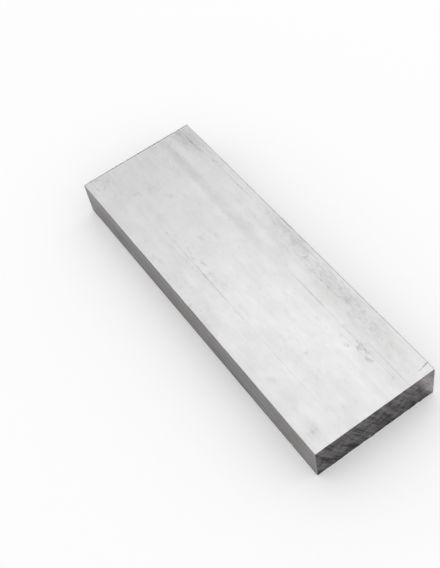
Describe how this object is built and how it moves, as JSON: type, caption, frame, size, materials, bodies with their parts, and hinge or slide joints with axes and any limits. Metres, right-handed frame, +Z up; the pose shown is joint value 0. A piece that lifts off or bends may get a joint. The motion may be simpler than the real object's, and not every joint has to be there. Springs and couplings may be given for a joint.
{
  "type": "aluminium flat bar",
  "caption": "Short rectangular aluminium bar with square sawn ends and slightly rounded long edges, raw stock for machining, drilling or welding.",
  "frame": {"origin": "centre of the broad face that the bar lies on", "axes": "+X along the length of the bar, +Y across its width, +Z up through its thickness"},
  "size_m": [0.1524, 0.0508, 0.0159],
  "materials": {
    "mill_aluminium": "mill finish with die lines along the length and light scuffs; the two sawn ends are rough and darker"
  },
  "bodies": {
    "root": {"flat_bar": "mill_aluminium"}
  },
  "joints": []
}
